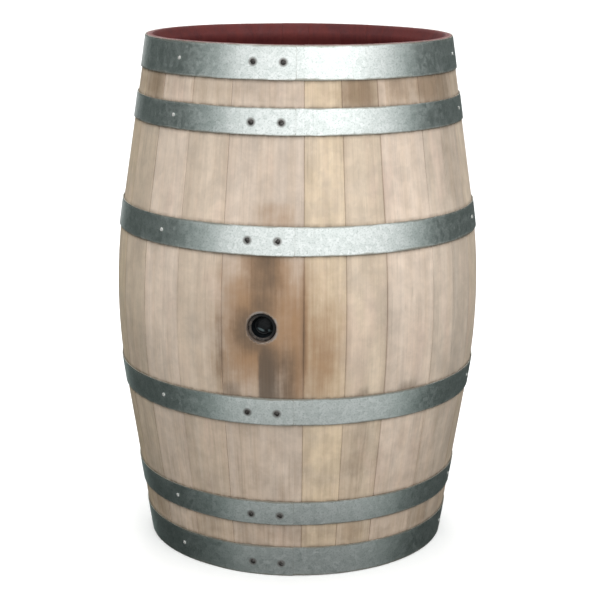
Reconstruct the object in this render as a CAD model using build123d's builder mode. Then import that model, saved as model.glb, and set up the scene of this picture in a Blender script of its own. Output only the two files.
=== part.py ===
"""A 225 litre oak wine barrel standing on end: staves, two dowelled heads, riveted hoops and a bung.

The frame has its origin on the floor at the middle of the barrel and +Z up along its axis. The bung
hole faces -Y. Angles round the barrel are azimuths in degrees, measured from the bung hole towards +X.
"""

import os
from math import asin, cos, degrees, radians, sin, sqrt, tan

from build123d import *

# The barrel's body. Radii are those of the outside of the wood.
HEIGHT = 950.0
END_RADIUS = 280.0
BILGE_RADIUS = 340.0
END_SLOPE = 8.72  # degrees from upright, on the straight part of each stave
STAVE_THICKNESS = 24.0
MIDDLE = HEIGHT / 2

# How many degrees of the circle each stave takes, going round from the wide one with the bung hole.
BUNG_STAVE_ANGLE = 24.6
STAVE_ANGLES = [
    BUNG_STAVE_ANGLE,
    12.5, 12.9, 17.8, 10.4, 12.0, 13.2, 14.9, 12.4,
    16.1, 11.8, 13.6, 12.2, 14.1, 11.4, 13.8, 12.1, 14.8,
    11.9, 13.4, 15.3, 10.9, 12.6, 14.4, 15.4, 15.5,
]

# The inside of each stave end: a chime bevel, then a shallow howel with the croze groove in it.
END_CHAMFER = 1.5
END_FACE = 9.5
BEVEL_DEPTH = 22.0
HOWEL_DEPTH = 3.0
HOWEL_HALF_WIDTH = 27.0
CROZE_RADIUS = 272.0
CROZE_WIDTH = 6.0

# The two heads, each of six boards with strips of rush in the joints between them.
HEAD_CENTRE = 57.0  # from the end of the barrel to the middle of the head's thickness
HEAD_THICKNESS = 22.0
HEAD_BEVEL_RADIUS = 240.0
HEAD_TONGUE_RADIUS = 266.0
HEAD_TONGUE_THICKNESS = 5.6
HEAD_FIT = 0.3
HEAD_JOINTS = [-178.0, -91.0, -3.0, 88.0, 180.0]
RUSH_THICKNESS = 0.6
DOWEL_RADIUS = 4.0
DOWEL_LENGTH = 44.0
DOWEL_FIT = 0.1
DOWEL_SPACING = 190.0

# The hoops, in pairs: how high the middle of the lower one stands, and how wide its strip is.
HOOPS = {"head_hoop": (30.0, 58.0), "quarter_hoop": (127.0, 46.0), "bilge_hoop": (325.0, 50.0)}
HOOP_THICKNESS = 1.7
HOOP_FIT = 0.05
LAP_START = -10.0  # azimuth of the hidden end of the strip
LAP_END = 9.6  # azimuth of the end that shows
RAMP_START = -16.0  # here the strip begins to climb over its own hidden end
RAMP_END = -11.0

# Two rivets hold each hoop's lap, and three nails keep it from creeping up the staves. The rivets were
# set by hand, so they stand a little above or below the middle of the strip.
RIVET_SPACING = 51.5
RIVET_LIFTS = {
    "head_hoop_top": 1.0,
    "quarter_hoop_top": -1.5,
    "bilge_hoop_top": 0.0,
    "bilge_hoop_bottom": -2.5,
    "quarter_hoop_bottom": -4.0,
    "head_hoop_bottom": -4.0,
}
RIVET_SHANK = 2.5
RIVET_FLARE = 3.6
RIVET_FLARE_DEPTH = 1.1
RIVET_HEAD = 4.8
RIVET_HEAD_HEIGHT = 2.2
RIVET_DOME_STEPS = [0, 25, 50, 70]  # degrees up the dome
NAIL_AZIMUTHS = [-35.5, 84.5, 204.5]
NAIL_SHANK = 1.3
NAIL_POINT = 3.0
NAIL_LENGTH = 17.0
NAIL_HEAD = 3.6
NAIL_HEAD_HEIGHT = 1.3
NAIL_HEAD_DRAFT = 0.4
HOLE_FIT = 0.1

# The bung and its hole, which narrows inwards by the same taper.
BUNG_HOLE_RADIUS = 25.0  # at the outside of the bilge
BUNG_TAPER = 3.0  # degrees
BUNG_FIT = 0.15
BUNG_RECESS = 7.0
BUNG_LENGTH = 38.0
BUNG_CUP_DEPTH = 15.0
BUNG_CUP_MOUTH = 18.5
BUNG_CUP_FLOOR = 14.0
BUNG_DOME = 2.5
BUNG_DOME_SHOULDER = 2.0  # the dome's height half way out
BUNG_LIP = 1.5
HOLE_WEAR_RADIUS = 29.0
HOLE_WEAR_DEPTH = 2.5

# The curve of a stave: an arc in the middle that runs into a straight line at each end.
BEND_RADIUS = (MIDDLE * tan(radians(END_SLOPE)) - (BILGE_RADIUS - END_RADIUS)) / (
    1 / cos(radians(END_SLOPE)) - 1
)
BEND_HALF_HEIGHT = BEND_RADIUS * sin(radians(END_SLOPE))


def slope_at(z):
    """The stave's slope from upright at a height, in degrees: positive where it leans outwards."""
    offset = max(-BEND_HALF_HEIGHT, min(BEND_HALF_HEIGHT, MIDDLE - z))
    return degrees(asin(offset / BEND_RADIUS))


def outer_radius(z):
    """The outside radius of the wood at a height."""
    offset = abs(MIDDLE - z)
    if offset > BEND_HALF_HEIGHT:
        return END_RADIUS + (MIDDLE - offset) * tan(radians(END_SLOPE))
    return BILGE_RADIUS - BEND_RADIUS + sqrt(BEND_RADIUS**2 - offset**2)


def inner_radius(z):
    """The inside radius of the wood on the straight part of a stave, before the ends are cut."""
    return outer_radius(z) - STAVE_THICKNESS / cos(radians(END_SLOPE))


def howel_point(z):
    """A point on the howel, the shallow hollow planed round the inside for the head."""
    share = (z - HEAD_CENTRE) / HOWEL_HALF_WIDTH
    return inner_radius(z) + HOWEL_DEPTH * (1 - share**2), z


def mirrored(point):
    """The same point at the barrel's other end."""
    return point[0], HEIGHT - point[1]


def upright_plane(azimuth):
    """The plane through the barrel's axis at an azimuth, with X outwards and Y up."""
    angle = radians(azimuth)
    return Plane(
        (0, 0, 0), x_dir=(sin(angle), -cos(angle), 0), z_dir=(-cos(angle), -sin(angle), 0)
    )


def surface_plane(azimuth, z, lift=0.0):
    """A plane on the outside of the wood, or lift above it, with Z straight out of the surface."""
    lean = radians(slope_at(z))
    outwards = upright_plane(azimuth).x_dir * cos(lean) - Vector(0, 0, sin(lean))
    foot = upright_plane(azimuth).x_dir * outer_radius(z) + Vector(0, 0, z)
    return Plane(foot + outwards * lift, x_dir=upright_plane(azimuth).z_dir, z_dir=outwards)


def turn(plane, outline, mode=Mode.ADD):
    """Turns an outline of (radius, height) points about the Z axis of a plane."""
    with BuildSketch(Plane(plane.origin, x_dir=plane.x_dir, z_dir=-plane.y_dir)) as section:
        with BuildLine():
            Polyline(*outline, close=True)
        make_face()
    revolve(section.sketch, axis=Axis(plane.origin, plane.z_dir), mode=mode)


def finish(builder, name):
    """Names a finished sub-part and writes it."""
    builder.part.label = name
    export_step(builder.part, f"parts/{name}.step")


def stave_section(azimuth):
    """A slice through the barrel's wall at an azimuth, with the cuts at both ends."""
    chamfer_top = (outer_radius(END_CHAMFER), END_CHAMFER)
    end_outside = (END_RADIUS - END_CHAMFER, 0)
    end_inside = (END_RADIUS - END_CHAMFER - END_FACE, 0)
    bevel_top = (inner_radius(BEVEL_DEPTH), BEVEL_DEPTH)
    howel_start = howel_point(HEAD_CENTRE - HOWEL_HALF_WIDTH)
    howel_end = howel_point(HEAD_CENTRE + HOWEL_HALF_WIDTH)
    croze_low = howel_point(HEAD_CENTRE - CROZE_WIDTH / 2)
    croze_high = howel_point(HEAD_CENTRE + CROZE_WIDTH / 2)
    howel_low = howel_point((howel_start[1] + croze_low[1]) / 2)
    howel_high = howel_point((howel_end[1] + croze_high[1]) / 2)
    croze_corners = [(CROZE_RADIUS, croze_low[1]), (CROZE_RADIUS, croze_high[1])]
    bend_z = MIDDLE - BEND_HALF_HEIGHT
    bend_outside = (outer_radius(bend_z), bend_z)
    bend_inside = (
        bend_outside[0] - STAVE_THICKNESS * cos(radians(END_SLOPE)),
        bend_z + STAVE_THICKNESS * sin(radians(END_SLOPE)),
    )
    with BuildSketch(upright_plane(azimuth)) as section:
        with BuildLine():
            for end in (tuple, mirrored):
                Polyline(
                    end(bend_outside), end(chamfer_top), end(end_outside), end(end_inside),
                    end(bevel_top), end(howel_start),
                )
                ThreePointArc(end(howel_start), end(howel_low), end(croze_low))
                Polyline(
                    end(croze_low), end(croze_corners[0]), end(croze_corners[1]), end(croze_high)
                )
                ThreePointArc(end(croze_high), end(howel_high), end(howel_end))
                Line(end(howel_end), end(bend_inside))
            ThreePointArc(bend_outside, (BILGE_RADIUS, MIDDLE), mirrored(bend_outside))
            bilge_inside = (BILGE_RADIUS - STAVE_THICKNESS, MIDDLE)
            ThreePointArc(bend_inside, bilge_inside, mirrored(bend_inside))
        make_face()
    return section.sketch


def hoop_middles():
    """Each hoop's name, the height of its middle and its width."""
    for name, (middle, width) in HOOPS.items():
        yield f"{name}_bottom", middle, width
        yield f"{name}_top", HEIGHT - middle, width


def hoop_section(azimuth, z, width, lift):
    """A slice through a hoop's strip at an azimuth, lift above where it lies on the wood."""
    lean = radians(slope_at(z))
    along = Vector(sin(lean), cos(lean)) * (width / 2)
    outwards = Vector(cos(lean), -sin(lean))
    inside = Vector(outer_radius(z), z) + outwards * (HOOP_FIT + lift)
    outside = inside + outwards * HOOP_THICKNESS
    with BuildSketch(upright_plane(azimuth)) as section:
        with BuildLine():
            Polyline(inside - along, inside + along, outside + along, outside - along, close=True)
        make_face()
    return section.sketch


def rivet_places(name, middle):
    """The azimuth and height of each rivet of a hoop, as far apart on every hoop."""
    z = middle + RIVET_LIFTS[name]
    aside = degrees(RIVET_SPACING / 2 / outer_radius(z))
    return [(-aside, z), (aside, z)]


def nail_outline():
    """A nail's half outline, from its point in the wood to its head on the hoop."""
    hoop_face = HOOP_FIT + HOOP_THICKNESS
    return [
        (0, hoop_face - NAIL_LENGTH),
        (NAIL_SHANK, hoop_face - NAIL_LENGTH + NAIL_POINT),
        (NAIL_SHANK, hoop_face),
        (NAIL_HEAD, hoop_face),
        (NAIL_HEAD - NAIL_HEAD_DRAFT, hoop_face + NAIL_HEAD_HEIGHT),
        (0, hoop_face + NAIL_HEAD_HEIGHT),
    ]


def nail_hole_outline():
    """The half outline of a nail's hole through the hoop and into the wood."""
    mouth = HOOP_FIT + HOOP_THICKNESS + HOLE_FIT
    tip = HOOP_FIT + HOOP_THICKNESS - NAIL_LENGTH - HOLE_FIT
    radius = NAIL_SHANK + HOLE_FIT
    return [(0, tip), (radius, tip + NAIL_POINT), (radius, mouth), (0, mouth)]


def rivet_outline():
    """A rivet's half outline, from its inner end, flared into the strip, to its domed head."""
    outer_face = 2 * (HOOP_FIT + HOOP_THICKNESS)
    dome = [
        (RIVET_HEAD * cos(radians(step)), outer_face + RIVET_HEAD_HEIGHT * sin(radians(step)))
        for step in RIVET_DOME_STEPS
    ]
    return [
        (0, HOOP_FIT),
        (RIVET_FLARE, HOOP_FIT),
        (RIVET_SHANK, HOOP_FIT + RIVET_FLARE_DEPTH),
        (RIVET_SHANK, outer_face),
        *dome,
        (0, outer_face + RIVET_HEAD_HEIGHT),
    ]


def rivet_hole_outline():
    """The half outline of a rivet's hole through both layers of the lap, open at both ends."""
    outer_face = 2 * (HOOP_FIT + HOOP_THICKNESS)
    return [
        (0, -HOLE_FIT),
        (RIVET_FLARE + HOLE_FIT, -HOLE_FIT),
        (RIVET_FLARE + HOLE_FIT, HOOP_FIT),
        (RIVET_SHANK + HOLE_FIT, HOOP_FIT + RIVET_FLARE_DEPTH),
        (RIVET_SHANK + HOLE_FIT, outer_face + HOLE_FIT),
        (0, outer_face + HOLE_FIT),
    ]


def bung_plane(depth):
    """The plane across the bung hole, depth in from the outside of the bilge, facing outwards."""
    return Plane((0, depth - BILGE_RADIUS, MIDDLE), x_dir=(1, 0, 0), z_dir=(0, -1, 0))


def bung_hole_radius(depth):
    """The tapered hole's radius at a depth in from the outside of the bilge."""
    return BUNG_HOLE_RADIUS - depth * tan(radians(BUNG_TAPER))


def make_staves():
    """The staves, each a slice of the wall. The first holds the bung, and three hold hoop nails."""
    joint = -BUNG_STAVE_ANGLE / 2
    for number, angle in enumerate(STAVE_ANGLES, start=1):
        nails = [azimuth for azimuth in NAIL_AZIMUTHS if joint < azimuth % 360 < joint + angle]
        with BuildPart() as stave:
            revolve(stave_section(joint), axis=Axis.Z, revolution_arc=angle)
            for azimuth in nails:
                for _, z, _ in hoop_middles():
                    turn(surface_plane(azimuth, z), nail_hole_outline(), Mode.SUBTRACT)
            if number == 1:
                make_bung_hole()
        finish(stave, "bung_stave" if number == 1 else f"stave_{number:02d}")
        joint += angle


def make_bung_hole():
    """Cuts the tapered hole for the bung, with its worn rim, out of the current part."""
    reach = 2 * STAVE_THICKNESS
    turn(
        bung_plane(0),
        [
            (0, -reach),
            (bung_hole_radius(reach), -reach),
            (bung_hole_radius(HOLE_WEAR_DEPTH), -HOLE_WEAR_DEPTH),
            (HOLE_WEAR_RADIUS, 0),
            (HOLE_WEAR_RADIUS, reach),
            (0, reach),
        ],
        Mode.SUBTRACT,
    )


def make_bung():
    """A hollow rubber bung, pushed in until it stands a little below the surface."""
    floor = -BUNG_CUP_DEPTH
    rim = bung_hole_radius(BUNG_RECESS) - BUNG_FIT
    foot = bung_hole_radius(BUNG_RECESS + BUNG_LENGTH) - BUNG_FIT
    with BuildPart() as bung:
        turn(
            bung_plane(BUNG_RECESS),
            [
                (0, -BUNG_LENGTH),
                (foot - BUNG_LIP, -BUNG_LENGTH),
                (foot, -BUNG_LENGTH + BUNG_LIP),
                (rim, -BUNG_LIP),
                (rim - BUNG_LIP, 0),
                (BUNG_CUP_MOUTH + BUNG_LIP, 0),
                (BUNG_CUP_MOUTH, -BUNG_LIP),
                (BUNG_CUP_FLOOR, floor),
                (BUNG_CUP_FLOOR / 2, floor + BUNG_DOME_SHOULDER),
                (0, floor + BUNG_DOME),
            ],
        )
    finish(bung, "bung")


def head_slice(low, high, middle):
    """The part of a head between two planes across it, with the holes of the dowels it meets."""
    half = HEAD_THICKNESS / 2
    tongue = HEAD_TONGUE_THICKNESS / 2
    edge = CROZE_RADIUS - HEAD_FIT
    turn(
        Plane.XY.offset(middle),
        [
            (0, -half),
            (HEAD_BEVEL_RADIUS, -half),
            (HEAD_TONGUE_RADIUS, -tongue),
            (edge, -tongue),
            (edge, tongue),
            (HEAD_TONGUE_RADIUS, tongue),
            (HEAD_BEVEL_RADIUS, half),
            (0, half),
        ],
    )
    with BuildSketch(Plane.XY.offset(middle)) as slab:
        with Locations((0, (low + high) / 2)):
            Rectangle(2 * edge, high - low)
    extrude(slab.sketch, amount=half, both=True, mode=Mode.INTERSECT)
    reach = DOWEL_LENGTH / 2
    touched = [joint for joint in HEAD_JOINTS if low - reach < joint < high + reach]
    for joint in touched:
        with BuildSketch(Plane.XZ.offset(-joint - reach - DOWEL_FIT)) as holes:
            with Locations((-DOWEL_SPACING / 2, middle), (DOWEL_SPACING / 2, middle)):
                Circle(DOWEL_RADIUS + DOWEL_FIT)
        extrude(holes.sketch, amount=2 * (reach + DOWEL_FIT), mode=Mode.SUBTRACT)


def make_head(end, middle):
    """One head: its boards, the rush between them and the dowels that join them."""
    gap = RUSH_THICKNESS / 2
    edges = [-CROZE_RADIUS] + HEAD_JOINTS + [CROZE_RADIUS]
    for number, (low, high) in enumerate(zip(edges, edges[1:]), start=1):
        with BuildPart() as board:
            head_slice(low + gap, high - gap, middle)
        finish(board, f"{end}_head_board_{number}")
    strips = []
    for joint in HEAD_JOINTS:
        with BuildPart() as strip:
            head_slice(joint - gap, joint + gap, middle)
        strips.append(strip.part)
    with BuildPart() as rush:
        add(strips)
    finish(rush, f"{end}_head_rush")
    with BuildPart() as dowels:
        for joint in HEAD_JOINTS:
            with BuildSketch(Plane.XZ.offset(-joint - DOWEL_LENGTH / 2)):
                with Locations((-DOWEL_SPACING / 2, middle), (DOWEL_SPACING / 2, middle)):
                    Circle(DOWEL_RADIUS)
            extrude(amount=DOWEL_LENGTH)
    finish(dowels, f"{end}_head_dowels")


def make_hoops():
    """The hoops, each one strip bent round until it laps over its own hidden end."""
    lap_lift = HOOP_THICKNESS + HOOP_FIT
    for name, z, width in hoop_middles():
        with BuildPart() as hoop:
            hidden_end = hoop_section(LAP_START, z, width, 0)
            ramp_foot = hoop_section(RAMP_START, z, width, 0)
            ramp_top = hoop_section(RAMP_END, z, width, lap_lift)
            revolve(hidden_end, axis=Axis.Z, revolution_arc=360 + RAMP_START - LAP_START)
            loft([ramp_foot, ramp_top], ruled=True)
            revolve(ramp_top, axis=Axis.Z, revolution_arc=LAP_END - RAMP_END)
            for azimuth, rivet_z in rivet_places(name, z):
                turn(surface_plane(azimuth, rivet_z), rivet_hole_outline(), Mode.SUBTRACT)
            for azimuth in NAIL_AZIMUTHS:
                turn(surface_plane(azimuth, z), nail_hole_outline(), Mode.SUBTRACT)
        finish(hoop, name)


def make_fasteners():
    """The hoops' rivets and nails, each kind one group."""
    with BuildPart() as rivets:
        for name, z, _ in hoop_middles():
            for azimuth, rivet_z in rivet_places(name, z):
                turn(surface_plane(azimuth, rivet_z), rivet_outline())
    finish(rivets, "hoop_rivets")
    with BuildPart() as nails:
        for _, z, _ in hoop_middles():
            for azimuth in NAIL_AZIMUTHS:
                turn(surface_plane(azimuth, z), nail_outline())
    finish(nails, "hoop_nails")


os.makedirs("parts", exist_ok=True)
make_staves()
make_bung()
make_head("bottom", HEAD_CENTRE)
make_head("top", HEIGHT - HEAD_CENTRE)
make_hoops()
make_fasteners()
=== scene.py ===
"""The looks of the oak wine barrel: staves, galvanised hoops, stained heads and a rubber bung.

Everything is in metres in the CAD frame: origin on the floor at the barrel's axis, +Z up, the bung
hole facing -Y. Azimuths are in degrees from the bung hole towards +X.
"""

from math import asin, atan2, cos, degrees, pi, radians, sin, sqrt, tan

import bmesh
import bpy
import numpy as np
from mathutils import Matrix, Vector


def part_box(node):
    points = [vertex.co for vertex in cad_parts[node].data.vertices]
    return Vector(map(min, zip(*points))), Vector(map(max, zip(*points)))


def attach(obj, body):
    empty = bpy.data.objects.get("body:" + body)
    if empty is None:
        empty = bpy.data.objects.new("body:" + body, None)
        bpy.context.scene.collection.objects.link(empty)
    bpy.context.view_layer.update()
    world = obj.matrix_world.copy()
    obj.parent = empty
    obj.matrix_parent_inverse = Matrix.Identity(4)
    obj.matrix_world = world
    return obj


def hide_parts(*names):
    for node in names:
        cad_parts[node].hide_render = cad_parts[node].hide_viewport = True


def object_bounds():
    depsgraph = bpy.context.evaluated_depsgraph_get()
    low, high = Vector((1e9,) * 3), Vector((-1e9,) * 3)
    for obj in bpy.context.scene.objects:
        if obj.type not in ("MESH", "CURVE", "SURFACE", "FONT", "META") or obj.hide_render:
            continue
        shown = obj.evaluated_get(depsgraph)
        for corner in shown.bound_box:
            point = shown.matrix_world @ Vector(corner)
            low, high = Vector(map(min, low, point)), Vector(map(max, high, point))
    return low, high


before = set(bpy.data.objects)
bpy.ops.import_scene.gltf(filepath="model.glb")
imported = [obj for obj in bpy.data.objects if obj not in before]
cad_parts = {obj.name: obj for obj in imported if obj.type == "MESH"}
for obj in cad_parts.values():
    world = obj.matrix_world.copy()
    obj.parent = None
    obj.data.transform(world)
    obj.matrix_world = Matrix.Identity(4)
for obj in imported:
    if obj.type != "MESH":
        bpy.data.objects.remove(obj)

CAD_LOW, CAD_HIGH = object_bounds()
BODY = "barrel"
RANDOM = np.random.default_rng(225)
# Points of a mesh that are nearer than this become one.
MERGE_DISTANCE = 1e-6
# Edges sharper than this stay sharp, in degrees.
SHARP_ANGLE = 40

# The shape of the wood, the same as the CAD's.
HEIGHT = CAD_HIGH.z
MIDDLE = HEIGHT / 2
END_RADIUS = 0.28
BILGE_RADIUS = 0.34
END_SLOPE = radians(8.72)
STAVE_THICKNESS = 0.024
BEND_RADIUS = (MIDDLE * tan(END_SLOPE) - (BILGE_RADIUS - END_RADIUS)) / (1 / cos(END_SLOPE) - 1)
BEND_HALF_HEIGHT = BEND_RADIUS * sin(END_SLOPE)
END_CHAMFER = 0.0015
END_FACE = 0.0095
BEVEL_DEPTH = 0.022
HEAD_CENTRE = 0.057
HOWEL_DEPTH = 0.003
HOWEL_HALF_WIDTH = 0.027
CROZE_RADIUS = 0.272
CROZE_HALF_WIDTH = 0.003

HOOP_THICKNESS = 0.0017
HOOP_GAP = 0.00005
# Each pair of hoops' width, and how far above the middle the rivets of the top and bottom one are.
HOOPS = {
    "head_hoop": (0.058, {"top": 0.001, "bottom": -0.004}),
    "quarter_hoop": (0.046, {"top": -0.0015, "bottom": -0.004}),
    "bilge_hoop": (0.05, {"top": 0.0, "bottom": -0.0025}),
}
# A hoop's strip starts under its lap, climbs over that end and ends on top, in degrees.
LAP_START, RAMP_START, RAMP_END, LAP_END = -10.0, -24.0, -10.4, 9.6
RIVET_SPACING = 0.0515
NAIL_AZIMUTHS = [-35.5, 84.5, 204.5]

BUNG_HOLE_RADIUS = 0.025
BUNG_TAPER = radians(3.0)
BUNG_FIT = 0.00015
BUNG_RECESS = 0.007
BUNG_LENGTH = 0.038
BUNG_CUP_DEPTH = 0.015
BUNG_CUP_MOUTH = 0.0185
BUNG_CUP_FLOOR = 0.014
BUNG_DOME = 0.0025
# How far from the hole's middle its bruised rim and the painted shade on its wall end: outer and
# inner limit.
RIM_FADE = (0.0318, 0.0285)
WALL_SHADE_FADE = (0.0278, 0.0252)
# Painted glints on the cup's floor, pale patches that stand in for highlights: place right of and
# above its middle, half length, half width and tilt.
PAINTED_GLINTS = [
    (-0.0045, -0.0072, 0.0066, 0.0023, -20),
    (0.0098, -0.009, 0.0019, 0.003, 10),
]

HEAD_THICKNESS = 0.022
HEAD_BEVEL_RADIUS = 0.24
HEAD_TONGUE_RADIUS = 0.266
HEAD_TONGUE_THICKNESS = 0.0056
HEAD_RADIUS = 0.2717
HEAD_JOINTS = [-0.178, -0.091, -0.003, 0.088, 0.18]
HEAD_GAP = 0.0007
BOARD_EASING = 0.0005

# The camera, measured from the photograph's perspective.
IMAGE_SIZE = 600
SENSOR = 36.0
CAMERA_FOCAL_PIXELS = 1584.85
CAMERA_CENTRE_X = 297.35
CAMERA_AZIMUTH = 10.4
CAMERA_DISTANCE = 2.94825
CAMERA_HEIGHT = 1.15935
CAMERA_PITCH = 0.2379
CAMERA_ROLL = 0.0067

# The light all round, as radiances: the open sky, the bright side that faces the barrel's front, a
# weaker one behind it, what is left at the sides, and the ground.
SKY_LIGHT = 2.1
FRONT_LIGHT = 1.2
BACK_LIGHT = 1.0
SIDE_LIGHT = 0.06
GROUND_LIGHT = 0.045
FRONT_AZIMUTH = CAMERA_AZIMUTH + 8.5
BACKDROP = (1.0, 1.0, 1.0)
# The lights: name, azimuth, elevation, distance, size and power.
SOFTBOXES = [
    ("key", CAMERA_AZIMUTH + 25, 35, 3.4, (1.6, 1.6), 14),
    ("back", CAMERA_AZIMUTH + 185, 45, 3.4, (1.6, 1.6), 25),
]


# ---- shape helpers


def outer_radius(z):
    """The outside radius of the wood at a height."""
    offset = abs(MIDDLE - z)
    if offset > BEND_HALF_HEIGHT:
        return END_RADIUS + (MIDDLE - offset) * tan(END_SLOPE)
    return BILGE_RADIUS - BEND_RADIUS + sqrt(BEND_RADIUS**2 - offset**2)


def slope_at(z):
    """The wood's lean from upright at a height, in radians: positive where it leans outwards."""
    return asin(max(-BEND_HALF_HEIGHT, min(BEND_HALF_HEIGHT, MIDDLE - z)) / BEND_RADIUS)


def outwards(azimuth):
    """The level direction away from the axis at an azimuth in degrees."""
    return Vector((sin(radians(azimuth)), -cos(radians(azimuth)), 0))


def surface_frame(azimuth, z, lift=0.0):
    """A matrix on the outside of the wood with its Z straight out and its Y up the stave."""
    lean = slope_at(z)
    normal = outwards(azimuth) * cos(lean) - Vector((0, 0, sin(lean)))
    along = outwards(azimuth) * sin(lean) + Vector((0, 0, cos(lean)))
    side = along.cross(normal)
    foot = outwards(azimuth) * outer_radius(z) + Vector((0, 0, z)) + normal * lift
    made = Matrix((side, along, normal)).transposed().to_4x4()
    made.translation = foot
    return made


def waves(count, shortest, longest):
    """Random gentle waves for unevenness: a list of (wave number, phase, share)."""
    lengths = np.exp(RANDOM.uniform(np.log(shortest), np.log(longest), count))
    return list(zip(2 * pi / lengths, RANDOM.uniform(0, 2 * pi, count), lengths / longest))


def uneven(made, x):
    """The sum of some waves at x, between about -1 and 1."""
    total = sum(share * np.sin(number * x + phase) for number, phase, share in made)
    return total / sum(share for _, _, share in made)


def add_object(name, data):
    """A new object in the scene."""
    made = bpy.data.objects.new(name, data)
    bpy.context.scene.collection.objects.link(made)
    return made


def shade_smooth(mesh, angle=SHARP_ANGLE):
    """Smooth shading, except across edges sharper than an angle in degrees."""
    mesh.shade_smooth()
    mesh.set_sharp_from_angle(angle=radians(angle))


def new_piece(name, mesh, materials, nodes, body=BODY, smooth=SHARP_ANGLE):
    """Makes a finished mesh a piece that stands for some CAD nodes."""
    piece = add_object(name, mesh)
    for material in materials:
        mesh.materials.append(material)
    shade_smooth(mesh, smooth)
    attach(piece, body)
    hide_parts(*nodes)
    return piece


def store(mesh, name, values):
    """Keeps one number or vector for each vertex, for a material to read."""
    values = np.asarray(values, np.float32)
    flat = values.ndim == 1
    layer = mesh.attributes.new(name, "FLOAT" if flat else "FLOAT_VECTOR", "POINT")
    layer.data.foreach_set("value" if flat else "vector", values.ravel())


def grid_mesh(name, points, closed_rows=False, closed_columns=False, caps=False):
    """A mesh from a grid of points (rows, columns, 3). Caps close the first and last columns."""
    rows, columns, _ = points.shape
    index = np.arange(rows * columns).reshape(rows, columns)
    if closed_rows:
        index = np.vstack([index, index[:1]])
    if closed_columns:
        index = np.hstack([index, index[:, :1]])
    quads = np.stack([index[:-1, :-1], index[:-1, 1:], index[1:, 1:], index[1:, :-1]], axis=-1)
    faces = quads.reshape(-1, 4).tolist()
    if caps:
        faces += [index[:rows, 0].tolist(), index[:rows, -1][::-1].tolist()]
    mesh = bpy.data.meshes.new(name)
    mesh.from_pydata(points.reshape(-1, 3).tolist(), [], faces)
    return mesh


def tidy(mesh):
    """Merges doubled points, drops faces with no area and turns every face outwards."""
    work = bmesh.new()
    work.from_mesh(mesh)
    bmesh.ops.remove_doubles(work, verts=work.verts, dist=MERGE_DISTANCE)
    bmesh.ops.dissolve_degenerate(work, edges=work.edges, dist=MERGE_DISTANCE)
    bmesh.ops.recalc_face_normals(work, faces=work.faces)
    work.to_mesh(mesh)
    work.free()


def as_points(*coordinates):
    """Coordinates that are given by row, by column or for both, as one grid of points."""
    return np.stack(np.broadcast_arrays(*coordinates), axis=-1)


def turned_mesh(name, points, place):
    """A closed mesh from points that were turned on the lathe, put in its place."""
    mesh = grid_mesh(name, points, closed_columns=True)
    tidy(mesh)
    mesh.transform(place)
    return mesh


def lathe(outline, segments, wobble=0.0):
    """Points turned about Z from (radius, height) pairs, each ring a little out of round."""
    turns = np.linspace(0, 2 * pi, segments, endpoint=False)
    rings = []
    for radius, height in outline:
        out = radius * (1 + wobble * uneven(waves(3, 1.2, 5.0), turns))
        ring = [out * np.cos(turns), out * np.sin(turns), np.full(segments, height)]
        rings.append(np.stack(ring, axis=1))
    return np.array(rings)


# ---- material helpers


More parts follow.
